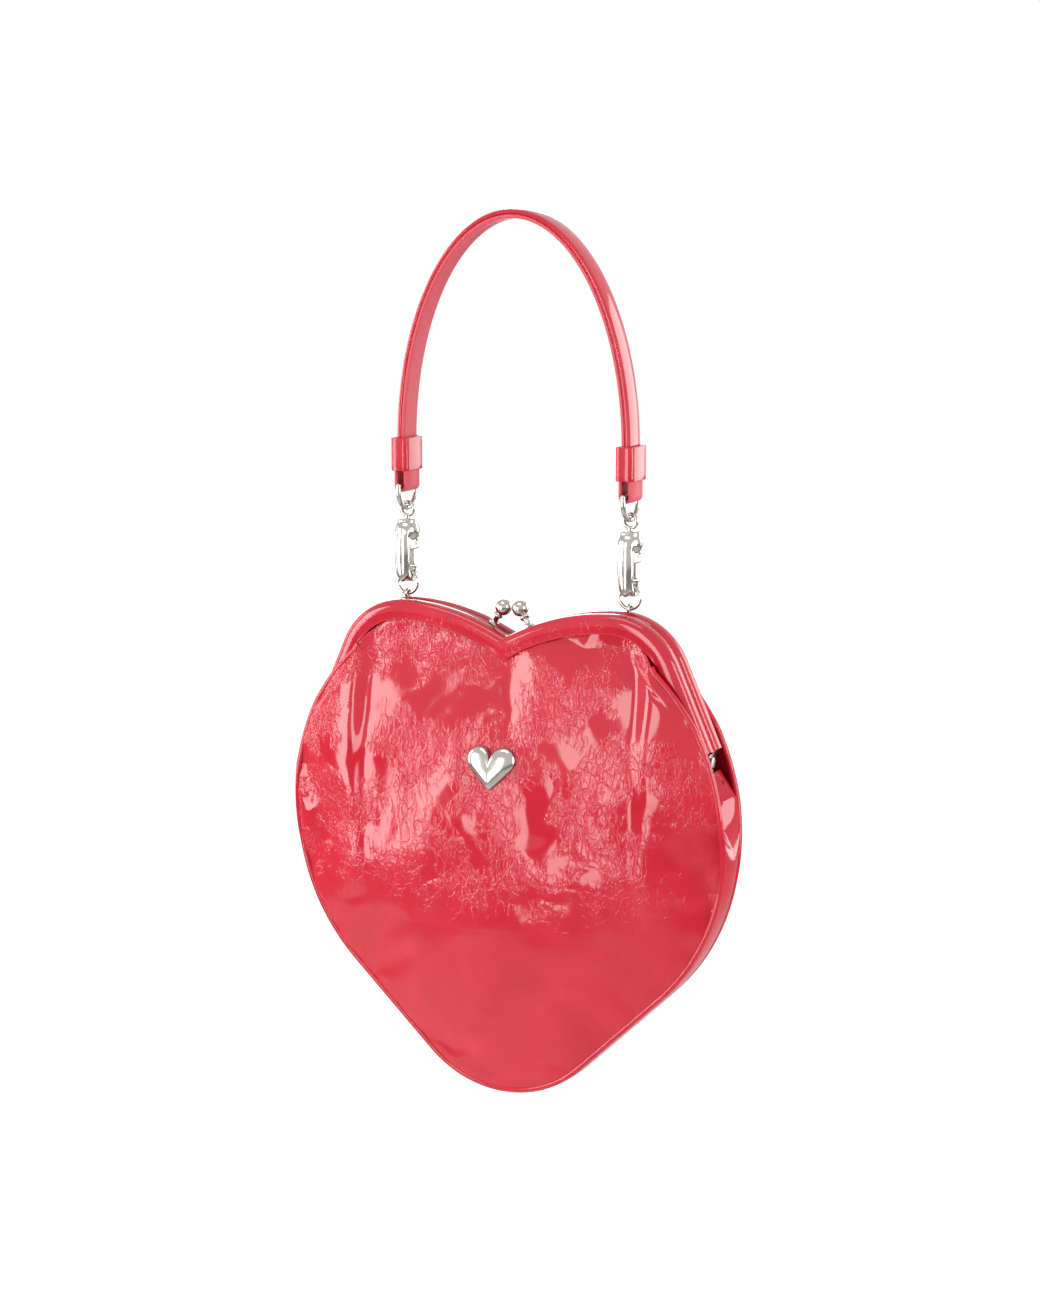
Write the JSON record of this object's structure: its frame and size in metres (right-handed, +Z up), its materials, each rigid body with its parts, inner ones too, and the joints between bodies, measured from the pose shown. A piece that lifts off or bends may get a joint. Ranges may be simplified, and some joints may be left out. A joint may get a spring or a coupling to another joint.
{
  "type": "heart shaped purse",
  "caption": "Heart shaped leather handbag on a hinged kiss-lock frame, hung from an arched strap handle by swivel snap hooks on rings.",
  "frame": {"origin": "underside of the strap handle at the top of its arch, where the hand or a hook holds it", "axes": "+Z up along the hanging bag, -Y to the front panel, +X to the right seen from the front"},
  "size_m": [0.198, 0.0463, 0.3698],
  "materials": {
    "red_patent_leather": "glossy crinkled patent",
    "red_matte_leather": "satin",
    "lining_cloth": "plain weave",
    "packing_twine": "paper twine",
    "nickel": "polished nickel plate",
    "spring_steel": "bare"
  },
  "bodies": {
    "handle": {"handle_strap": "red_patent_leather", "handle_strap_lining": "red_matte_leather", "left_keeper": "red_patent_leather", "right_keeper": "red_patent_leather", "left_tab": "red_matte_leather", "right_tab": "red_matte_leather"},
    "left_link": {"left_d_ring": "nickel", "left_hook_body": "nickel", "left_gate_pin": "nickel", "left_gate_spring": "spring_steel"},
    "left_swivel": {"left_swivel_eye": "nickel"},
    "left_gate": {"left_hook_gate": "nickel"},
    "left_ring": {"left_frame_ring": "nickel"},
    "right_link": {"right_d_ring": "nickel", "right_hook_body": "nickel", "right_gate_pin": "nickel", "right_gate_spring": "spring_steel"},
    "right_swivel": {"right_swivel_eye": "nickel"},
    "right_gate": {"right_hook_gate": "nickel"},
    "right_ring": {"right_frame_ring": "nickel"},
    "rear_half": {"rear_frame_channel": "nickel", "rear_frame_cover": "red_patent_leather", "rear_packing": "packing_twine", "left_ring_post": "nickel", "right_ring_post": "nickel", "rear_lock_ball": "nickel", "left_hinge_rivet": "nickel", "right_hinge_rivet": "nickel", "rear_panel": "red_patent_leather", "rear_lining": "lining_cloth", "inner_pocket": "lining_cloth", "gusset": "red_patent_leather", "gusset_lining": "lining_cloth", "front_panel_lower": "red_patent_leather", "front_panel_fold": "red_patent_leather", "front_lining": "lining_cloth", "heart_stud": "nickel", "stud_washer": "nickel"},
    "front_half": {"front_frame_channel": "nickel", "front_frame_cover": "red_patent_leather", "front_packing": "packing_twine", "front_lock_ball": "nickel", "front_panel_upper": "red_patent_leather"}
  },
  "joints": [
    {"name": "left_sway", "type": "hinge", "parent": "handle", "child": "left_link", "pos_m": [-0.0513, 0.0045, -0.1108], "axis": [0, 1, 0], "range_deg": [-20, 20]},
    {"name": "left_eye_turn", "type": "hinge", "parent": "left_link", "child": "left_swivel", "pos_m": [-0.0513, 0.0045, -0.128], "axis": [0, 0, 1], "range_deg": [-30, 30]},
    {"name": "left_gate_open", "type": "hinge", "parent": "left_link", "child": "left_gate", "pos_m": [-0.0513, 0.0077, -0.1356], "axis": [-1, 0, 0], "range_deg": [0, 25], "stiffness_Nm_per_rad": 0.004, "springref_deg": -11.46, "deforming": ["left_gate_spring"]},
    {"name": "left_ring_turn", "type": "hinge", "parent": "left_link", "child": "left_ring", "pos_m": [-0.0513, 0.0045, -0.1525], "axis": [0, 1, 0], "range_deg": [-20, 20]},
    {"name": "right_sway", "type": "hinge", "parent": "handle", "child": "right_link", "pos_m": [0.0513, 0.0045, -0.1108], "axis": [0, 1, 0], "range_deg": [-20, 20]},
    {"name": "right_eye_turn", "type": "hinge", "parent": "right_link", "child": "right_swivel", "pos_m": [0.0513, 0.0045, -0.128], "axis": [0, 0, 1], "range_deg": [-30, 30]},
    {"name": "right_gate_open", "type": "hinge", "parent": "right_link", "child": "right_gate", "pos_m": [0.0513, 0.0077, -0.1356], "axis": [-1, 0, 0], "range_deg": [0, 25], "stiffness_Nm_per_rad": 0.004, "springref_deg": -11.46, "deforming": ["right_gate_spring"]},
    {"name": "right_ring_turn", "type": "hinge", "parent": "right_link", "child": "right_ring", "pos_m": [0.0513, 0.0045, -0.1525], "axis": [0, 1, 0], "range_deg": [-20, 20]},
    {"name": "bag_swing", "type": "hinge", "parent": "left_ring", "child": "rear_half", "pos_m": [0, 0.0045, -0.15705], "axis": [1, 0, 0], "range_deg": [-45, 75]},
    {"name": "frame_open", "type": "hinge", "parent": "rear_half", "child": "front_half", "pos_m": [0, 0, -0.2167], "axis": [1, 0, 0], "range_deg": [0, 65], "deforming": ["front_panel_fold", "front_lining"]}
  ],
  "couplings": [
    {"joint": "right_sway", "follows": "left_sway", "ratio": 1},
    {"joint": "left_ring_turn", "follows": "left_sway", "ratio": -1},
    {"joint": "right_ring_turn", "follows": "left_sway", "ratio": -1}
  ]
}
